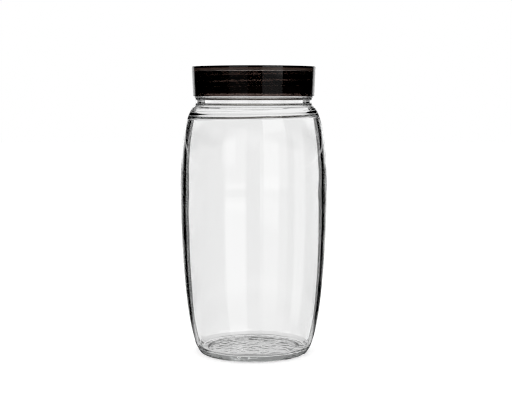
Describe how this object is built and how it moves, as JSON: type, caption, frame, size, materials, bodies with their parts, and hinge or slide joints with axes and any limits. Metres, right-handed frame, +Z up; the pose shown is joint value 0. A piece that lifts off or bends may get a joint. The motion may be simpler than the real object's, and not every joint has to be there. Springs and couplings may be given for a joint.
{
  "type": "glass jar with screw lid",
  "caption": "Tall barrel-shaped clear glass storage jar with a wide threaded mouth, a dark brown plastic screw lid and a sealing liner.",
  "frame": {"origin": "centre of the ring that the jar stands on", "axes": "+Z up along the jar's axis, towards the lid; the thread fades out level with +X"},
  "size_m": [0.1224, 0.1224, 0.2385],
  "materials": {
    "clear_glass": "clear, smooth outside, faintly uneven inside",
    "brown_plastic": "glossy dark brown, slightly see-through where thin",
    "liner_foam": "off-white closed-cell foam"
  },
  "bodies": {
    "jar": {"glass_jar": "clear_glass"},
    "liner": {"lid_liner": "liner_foam"},
    "lid": {"screw_lid": "brown_plastic"}
  },
  "joints": [
    {"name": "lid_rise", "type": "slide", "parent": "jar", "child": "liner", "axis": [0, 0, 1], "range_m": [0, 0.02541]},
    {"name": "lid_turn", "type": "hinge", "parent": "liner", "child": "lid", "pos_m": [0, 0, 0.23482], "axis": [0, 0, 1], "range_deg": [0, 1800]}
  ],
  "couplings": [
    {"joint": "lid_rise", "follows": "lid_turn", "m_per_rad": 0.00080851}
  ]
}
